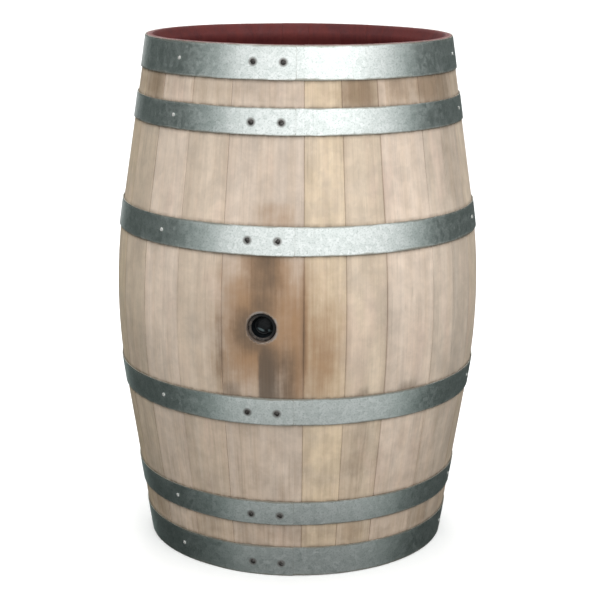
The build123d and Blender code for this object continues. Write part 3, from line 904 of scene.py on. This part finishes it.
def cut(piece, cutter):
    """Takes one mesh out of another for good, and removes the cutter."""
    tool = add_object("cutter", cutter)
    modifier = piece.modifiers.new("cut", "BOOLEAN")
    modifier.operation, modifier.object, modifier.solver = "DIFFERENCE", tool, "EXACT"
    bpy.context.view_layer.update()
    evaluated = piece.evaluated_get(bpy.context.evaluated_depsgraph_get())
    made = bpy.data.meshes.new_from_object(evaluated)
    piece.modifiers.clear()
    made.name = piece.data.name
    piece.data = made
    bpy.data.objects.remove(tool)

    # Faces with many sides are split here: left whole, they gave doubled triangles.
    work = bmesh.new()
    work.from_mesh(made)
    many_sided = [face for face in work.faces if len(face.verts) > 4]
    bmesh.ops.triangulate(work, faces=many_sided, ngon_method="BEAUTY")
    work.to_mesh(made)
    work.free()
    tidy(made)
    shade_smooth(made)


def bung_hole_cutter():
    """A tapered plug with a worn, uneven flare at its outer end."""
    reach = 0.04
    outline = [
        (0.0, -reach),
        (BUNG_HOLE_RADIUS - reach * tan(BUNG_TAPER), -reach),
        (BUNG_HOLE_RADIUS - 0.006 * tan(BUNG_TAPER), -0.006),
        (BUNG_HOLE_RADIUS, -0.0032),
        (BUNG_HOLE_RADIUS + 0.0007, -0.0022),
        (BUNG_HOLE_RADIUS + 0.0018, -0.0013),
        (BUNG_HOLE_RADIUS + 0.0035, -0.0006),
        (BUNG_HOLE_RADIUS + 0.007, 0.0002),
        (BUNG_HOLE_RADIUS + 0.007, 0.01),
        (0.0, 0.01),
    ]
    return turned_mesh("bung_hole", lathe(outline, 96, 0.006), surface_frame(0, MIDDLE))


def make_staves(materials):
    """The 26 staves, of which the first has the bung hole."""
    names = ["bung_stave"] + [f"stave_{n:02d}" for n in range(2, 27)]
    for number, node in enumerate(names):
        mesh = stave_mesh(number, node)
        piece = new_piece(f"oak_{node}", mesh, materials, [node], smooth=50)
        if number == 0:
            cut(piece, bung_hole_cutter())


# ---- hoops and their fasteners


# A hoop's unevenness: the corners of its section and ends, how far its borders wander and its face
# swells, and how far its darkened end, rust and painted shade, reaches in from its end.
SECTION_CORNER = 0.0003
END_CORNER = 0.004
BORDER_WANDER = 0.0003
FACE_SWELL = 0.0001
END_DARK_REACH = 0.003
# The last points before the visible end, in degrees from it.
END_STEPS = (0.6, 0.45, 0.3, 0.15, 0.05, 0.0)
RIVET_RADIUS = 0.0047
RIVET_RISE = 0.0021
RIVET_BLOWS = 5


def strip_section(width):
    """Points round a hoop strip's section, as (across, out, edge): edge is 1 at a border."""
    half, corner = width / 2, SECTION_CORNER
    shares = [-1.0, -0.985, -0.95, -0.85, -0.6, -0.3, 0.0, 0.3, 0.6, 0.85, 0.95, 0.985, 1.0]
    face = [(share * (half - corner), HOOP_THICKNESS, abs(share)) for share in shares]
    border = [
        (half - 0.3 * corner, HOOP_THICKNESS - 0.3 * corner, 1.0),
        (half, HOOP_THICKNESS - corner, 1.0),
        (half, corner, 1.0),
        (half - corner, 0.0, 1.0),
    ]
    back = [(share * (half - corner), 0.0, abs(share)) for share in (0.5, 0.0, -0.5)]
    return face + border + back + [(-across, out, edge) for across, out, edge in border[::-1]]


def make_hoop(name, z, width, rivet_lift, material):
    """One strip of steel bent round the staves until it laps over its hidden end."""
    lean = slope_at(z)
    across, out, edge = np.array(strip_section(width)).T
    ramp_start, ramp_end, end = 360 + RAMP_START, 360 + RAMP_END, 360 + LAP_END
    turn = np.concatenate(
        [
            np.arange(LAP_START, ramp_start, 1.0),
            np.arange(ramp_start, ramp_end, 0.5),
            np.arange(ramp_end, end - END_STEPS[0], 1.0),
            end - np.array(END_STEPS),
        ]
    )
    climb = np.clip((turn - 360 - RAMP_START) / (RAMP_END - RAMP_START), 0, 1)
    lift = (HOOP_THICKNESS + HOOP_GAP) * climb**2 * (3 - 2 * climb)
    arc = np.radians(turn) * outer_radius(z)
    wander = [BORDER_WANDER * uneven(waves(6, 0.02, 0.4), arc)[:, None] for _ in range(2)]
    swell = FACE_SWELL * (1 + uneven(waves(5, 0.03, 0.5), arc))
    swell = swell * np.clip((turn[-1] - turn) / 4, 0, 1) * np.clip((turn - turn[0]) / 4, 0, 1)

    # The strip's corners are clipped round at both ends.
    to_end = np.minimum(arc - arc[0], arc[-1] - arc)
    missing = np.clip(END_CORNER - to_end, 0, END_CORNER)
    narrow = END_CORNER - np.sqrt(END_CORNER**2 - missing**2)
    half = width / 2
    side = across[None, :] * (1 - narrow / half)[:, None]
    side = side + np.where(across > 0, *wander) * (np.abs(across) / half) ** 4
    crown = swell[:, None] * (1 - (across / half) ** 2)
    rise = HOOP_GAP + lift[:, None] + out[None, :] + crown * (out > 0)

    level = outer_radius(z) + side * sin(lean) + rise * cos(lean)
    angle = np.radians(turn)[:, None]
    up = z + side * cos(lean) - rise * sin(lean)
    points = as_points(level * np.sin(angle), -level * np.cos(angle), up)
    mesh = grid_mesh(name, points.transpose(1, 0, 2), closed_rows=True, caps=True)

    # For the material: where each point is along and across the strip and how near a border, and
    # how far it is round from the middle of the lap and above the rivets.
    at_end = np.clip(1 - (arc[-1] - arc) / END_DARK_REACH, 0, 1)
    band = as_points(arc[:, None] + 5 * z, side, np.maximum(edge[None, :], at_end[:, None]))
    store(mesh, "band", band.transpose(1, 0, 2).reshape(-1, 3))
    from_lap = np.radians(np.minimum(np.abs(turn), np.abs(turn - 360))) * outer_radius(z)
    lap = as_points(from_lap[:, None], side - rivet_lift, 0.0)
    store(mesh, "lap", lap.transpose(1, 0, 2).reshape(-1, 3))
    tidy(mesh)
    new_piece(f"steel_{name}", mesh, [material], [name], smooth=35)


def joined(name, meshes):
    """Several meshes as one."""
    work = bmesh.new()
    for mesh in meshes:
        work.from_mesh(mesh)
        bpy.data.meshes.remove(mesh)
    made = bpy.data.meshes.new(name)
    work.to_mesh(made)
    work.free()
    return made


def rivet_mesh(azimuth, z):
    """A hand-set rivet: a domed head with hammer flats, standing on the lap."""
    face = 2 * (HOOP_THICKNESS + HOOP_GAP)
    outline = [(0.0, face - 0.0012), (0.0025, face - 0.0012), (0.0028, face - 0.0001)]
    outline += [
        (RIVET_RADIUS * cos(radians(step)) ** 0.8, face + RIVET_RISE * sin(radians(step)))
        for step in (0, 12, 25, 38, 50, 62, 73, 82)
    ]
    outline += [(0.0, face + RIVET_RISE)]
    points = lathe(outline, 32, 0.05)
    for _ in range(RIVET_BLOWS):
        blow = Vector((*RANDOM.uniform(-0.5, 0.5, 2), 1.0)).normalized()
        beyond = points @ np.array(blow) - (face * blow.z + RANDOM.uniform(0.0016, RIVET_RISE))
        points = points - np.clip(beyond, 0, None)[..., None] * np.array(blow)
    return turned_mesh("rivet", points, surface_frame(azimuth, z))


def nail_mesh(azimuth, z):
    """A nail driven through a hoop, its head squashed by the hammer."""
    shank = [(0.0, -0.016), (0.0005, -0.015), (0.0013, -0.012), (0.0013, 0.0)]
    head = [(0.003, 0.0001), (0.0035, 0.0004), (0.0036, 0.0008), (0.0032, 0.0012), (0.0018, 0.0013)]
    outline = [*shank, *head, (0.0, 0.00125)]
    points = lathe(outline, 24, 0.06)
    lifted = points[..., 2] > 0
    stretch = RANDOM.uniform(0.9, 1.0, 2)
    points[..., :2] *= np.where(lifted[..., None], stretch, 1.0)
    points[..., 2] += HOOP_THICKNESS + HOOP_GAP
    return turned_mesh("nail", points, surface_frame(azimuth, z))


def make_fasteners(rusty, bright):
    """Two rivets and three nails through every hoop."""
    rivets, nails = [], []
    for _, z, _, lift in hoop_rows():
        rivet_z = z + lift
        aside = degrees(RIVET_SPACING / 2 / outer_radius(rivet_z))
        rivets += [rivet_mesh(azimuth, rivet_z) for azimuth in (-aside, aside)]
        nails += [nail_mesh(azimuth, z) for azimuth in NAIL_AZIMUTHS]
    for kind, meshes, material in (("rivet", rivets, rusty), ("nail", nails, bright)):
        mesh = joined(f"{kind}s", meshes)
        new_piece(f"steel_{kind}s", mesh, [material], [f"hoop_{kind}s"])


# ---- heads and bung


BOARD_CUP = (0.0002, 0.0007)
BOARD_RIPPLE = 0.0002
BUNG_LIP = 0.0017


def head_disc(centre):
    """A whole head before it is split: a disc whose rim thins to the tongue that fits the croze."""
    thin, thick = HEAD_TONGUE_THICKNESS / 2, HEAD_THICKNESS / 2
    flat = [(r, thick) for r in np.linspace(0.006, HEAD_BEVEL_RADIUS - 0.001, 26)]
    run, drop = HEAD_TONGUE_RADIUS - HEAD_BEVEL_RADIUS, thin - thick
    slope = [
        (HEAD_BEVEL_RADIUS + share * run, thick + share * drop)
        for share in (0.02, 0.2, 0.4, 0.6, 0.8, 0.98)
    ]
    tongue = [(HEAD_TONGUE_RADIUS + 0.001, thin), (HEAD_RADIUS - 0.0005, thin)]
    upper = [(0.0, thick), *flat, *slope, *tongue, (HEAD_RADIUS, thin - 0.0006)]
    outline = upper + [(r, -z) for r, z in upper[::-1]]
    points = lathe([(r, centre + z) for r, z in outline], 180)
    return grid_mesh("head", points, closed_columns=True)


def split_board(disc, low, high):
    """The part of a disc between two joints, low and high along Y. None is the disc's own edge."""
    work = bmesh.new()
    work.from_mesh(disc)
    bmesh.ops.remove_doubles(work, verts=work.verts, dist=MERGE_DISTANCE)
    for y, outside in ((low, -1), (high, 1)):
        if y is None:
            continue
        geometry = work.verts[:] + work.edges[:] + work.faces[:]
        made = bmesh.ops.bisect_plane(
            work, geom=geometry, plane_co=(0, y, 0), plane_no=(0, outside, 0),
            clear_outer=True, dist=MERGE_DISTANCE,
        )
        rim = [item for item in made["geom_cut"] if isinstance(item, bmesh.types.BMEdge)]
        filled = bmesh.ops.contextual_create(work, geom=rim)["faces"]
        # Each edge once, always in the same order, which a set wouldn't keep.
        edges = list(dict.fromkeys(edge for face in filled for edge in face.edges))
        bmesh.ops.bevel(
            work, geom=edges, offset=BOARD_EASING, segments=2, profile=0.6,
            affect="EDGES", clamp_overlap=True,
        )
    bmesh.ops.dissolve_degenerate(work, edges=work.edges, dist=MERGE_DISTANCE)
    bmesh.ops.recalc_face_normals(work, faces=work.faces)
    mesh = bpy.data.meshes.new("board")
    work.to_mesh(mesh)
    work.free()
    return mesh


def make_head(end, centre, material):
    """Six boards edge to edge, each a little cupped, its grain running along X."""
    joints = [None, *HEAD_JOINTS, None]
    gap = HEAD_GAP / 2
    for number, (low, high) in enumerate(zip(joints, joints[1:]), start=1):
        node = f"{end}_head_board_{number}"
        mesh = split_board(head_disc(centre), low and low + gap, high and high - gap)
        points = np.array([vertex.co for vertex in mesh.vertices])
        x, y, z = points.T
        middle, half = (y.min() + y.max()) / 2, np.ptp(y) / 2
        cup = RANDOM.uniform(*BOARD_CUP) * ((y - middle) / half) ** 2
        cup = cup + RANDOM.uniform(0, BOARD_RIPPLE) * (1 + uneven(waves(4, 0.05, 0.4), x))
        # The thin rim keeps its shape, because it has to fit the croze.
        thick = np.hypot(x, y) < HEAD_BEVEL_RADIUS + 0.01
        points[:, 2] += np.sign(centre - z) * cup * thick
        mesh.vertices.foreach_set("co", points.astype(np.float32).ravel())
        mesh.update()
        store(mesh, "grain", points[:, [1, 2, 0]] + [2.9 * number + 20 * centre, 0, 1.7 * number])
        new_piece(f"oak_{node}", mesh, [material], [node], smooth=35)


def make_bung(material):
    """A hollow rubber bung: a rolled lip, a cup with a slightly domed floor, and a tapered body."""
    rim = BUNG_HOLE_RADIUS - BUNG_RECESS * tan(BUNG_TAPER) - BUNG_FIT
    foot = rim - BUNG_LENGTH * tan(BUNG_TAPER)
    lip = BUNG_LIP

    def rolled(radius, turn):
        """A quarter of a circle from the side up to the lip's top, on its outer or inner side."""
        return [
            (radius + turn * lip * cos(radians(a)), -lip + lip * sin(radians(a)))
            for a in (0, 15, 30, 45, 60, 75, 90)
        ]

    outer_lip = rolled(rim - lip, 1)
    inner_lip = rolled(BUNG_CUP_MOUTH + lip, -1)[::-1]
    wall = [
        (BUNG_CUP_MOUTH + share * (BUNG_CUP_FLOOR - BUNG_CUP_MOUTH), -BUNG_CUP_DEPTH * share)
        for share in (0.25, 0.45, 0.65, 0.82, 0.92)
    ]
    floor = [
        (BUNG_CUP_FLOOR * share, -BUNG_CUP_DEPTH + BUNG_DOME * (1 - share**2))
        for share in (0.97, 0.9, 0.8, 0.65, 0.5, 0.35, 0.2, 0.08)
    ]
    outline = [(0.0, -BUNG_LENGTH), (foot - 0.001, -BUNG_LENGTH), (foot, -BUNG_LENGTH + 0.001)]
    outline += [
        (foot + (rim - foot) * share, -BUNG_LENGTH * (1 - share)) for share in (0.3, 0.6, 0.9)
    ]
    outline += outer_lip + inner_lip + wall + floor + [(0.0, -BUNG_CUP_DEPTH + BUNG_DOME)]
    mesh = turned_mesh("bung", lathe(outline, 96, 0.002), surface_frame(0, MIDDLE, -BUNG_RECESS))
    new_piece("rubber_bung", mesh, [material], ["bung"], body="bung", smooth=60)


def finish_kept_nodes(oak, rush):
    """The dowels and the rush keep their CAD shapes and get their materials."""
    for end in ("top", "bottom"):
        for kind, material, slot in (("dowels", oak, "dowel_wood"), ("rush", rush, "rush")):
            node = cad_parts[f"{end}_head_{kind}"]
            node.data.materials.clear()
            node.data.materials.append(material)


# ---- room, light and camera


FLOOR_HALF_WIDTH = 30.0


def make_floor():
    """A wide pale floor. It lights nothing itself, so the dome alone shapes the steel's sheen."""
    mesh = bpy.data.meshes.new("floor")
    half = FLOOR_HALF_WIDTH
    corners = [(-half, -half, 0), (half, -half, 0), (half, half, 0), (-half, half, 0)]
    mesh.from_pydata(corners, [], [(0, 1, 2, 3)])
    mesh.materials.append(floor_material())
    floor = add_object("floor", mesh)
    floor.visible_diffuse = False
    floor.visible_glossy = False


def make_dome():
    """Soft light from all round, brightest overhead and in front, and a backdrop for the camera."""
    world = bpy.data.worlds.new("studio")
    bpy.context.scene.world = world
    world.use_nodes = True
    s = Nodes(world.node_tree)
    x, y, z = s.split(s.node("TexCoord", {}).outputs["Generated"])
    level = s.math("SQRT", s.math("MAXIMUM", s.minus(1.0, s.times(z, z)), 1e-6))
    front = outwards(FRONT_AZIMUTH)
    facing = s.math("DIVIDE", s.plus(s.times(x, front.x), s.times(y, front.y)), level)

    def height(low, high, to_low, to_high):
        """A smooth step between two elevations in degrees."""
        return s.ramp(z, sin(radians(low)), sin(radians(high)), to_low, to_high)

    # In front it is brightest above the horizon, and dark where the ground would be near the foot.
    before = s.times(s.ramp(facing, 0.0, 0.8), FRONT_LIGHT)
    before = s.times(before, height(-39.5, -30.5, 0.04, 0.85), height(-14, 2, 0.87, 1.18))
    behind = s.times(s.ramp(facing, -0.9, -0.985, 0.0, BACK_LIGHT), height(-35, 5, 0.25, 1.0))
    above = s.plus(height(-20, 0, GROUND_LIGHT, SIDE_LIGHT), height(22, 48, 0.0, SKY_LIGHT))
    total = s.math("MAXIMUM", s.math("MAXIMUM", before, above), behind)
    tint = s.mix(s.ramp(total, 0.05, 0.9), (0.74, 1.0, 0.92), (1.0, 1.0, 1.0))
    sky = s.node("Background", {"Color": tint, "Strength": total})
    backdrop = s.node("Background", {"Color": (*BACKDROP, 1.0)})
    path = s.node("LightPath", {}).outputs["Is Camera Ray"]
    shown = s.node("MixShader", {0: path, 1: sky.outputs[0], 2: backdrop.outputs[0]})
    s.plug(shown.outputs[0], s.tree.nodes["World Output"].inputs["Surface"])


def make_softbox(name, azimuth, elevation, distance, size, power):
    """A rectangular light that faces the middle of the barrel."""
    data = bpy.data.lights.new(name, "AREA")
    data.shape, (data.size, data.size_y) = "RECTANGLE", size
    data.energy = power
    box = add_object(name, data)
    away = outwards(azimuth) * cos(radians(elevation)) + Vector((0, 0, sin(radians(elevation))))
    box.location = Vector((0, 0, MIDDLE)) + away * distance
    box.rotation_mode = "QUATERNION"
    box.rotation_quaternion = away.to_track_quat("Z", "Y")


def make_camera():
    """The photograph's view: a long lens, a little above the barrel and 10 degrees to its right."""
    data = bpy.data.cameras.new("camera")
    data.sensor_width = SENSOR
    data.lens = CAMERA_FOCAL_PIXELS / IMAGE_SIZE * SENSOR
    data.shift_x = (IMAGE_SIZE / 2 - CAMERA_CENTRE_X) / IMAGE_SIZE
    data.clip_start, data.clip_end = 0.05, 100
    camera = add_object("camera", data)
    camera.location = outwards(CAMERA_AZIMUTH) * CAMERA_DISTANCE + Vector((0, 0, CAMERA_HEIGHT))
    aim = outwards(CAMERA_AZIMUTH) * cos(CAMERA_PITCH) + Vector((0, 0, sin(CAMERA_PITCH)))
    turn = aim.to_track_quat("Z", "Y").to_matrix() @ Matrix.Rotation(CAMERA_ROLL, 3, "Z")
    camera.rotation_mode = "QUATERNION"
    camera.rotation_quaternion = turn.to_quaternion()
    bpy.context.scene.camera = camera


def main():
    """Makes everything, always in this order, because the pieces share one row of random draws."""
    bpy.context.scene.view_settings.view_transform = "Standard"
    make_camera()
    make_staves([stave_material(), stained_material(), toasted_material()])
    steel = hoop_material()
    for hoop in hoop_rows():
        make_hoop(*hoop, steel)
    make_fasteners(
        iron_material("rusty_rivet_steel", (0.085, 0.08, 0.076), (0.035, 0.03, 0.027), 0.45, 0.7),
        iron_material("bright_nail_steel", (0.76, 0.78, 0.76), (0.52, 0.5, 0.46), 0.3, 0.3),
    )
    head = stained_material()
    make_head("bottom", HEAD_CENTRE, head)
    make_head("top", HEIGHT - HEAD_CENTRE, head)
    make_bung(rubber_material())
    finish_kept_nodes(raw_oak_material(), rush_material())
    make_floor()
    make_dome()
    for softbox in SOFTBOXES:
        make_softbox(*softbox)


main()
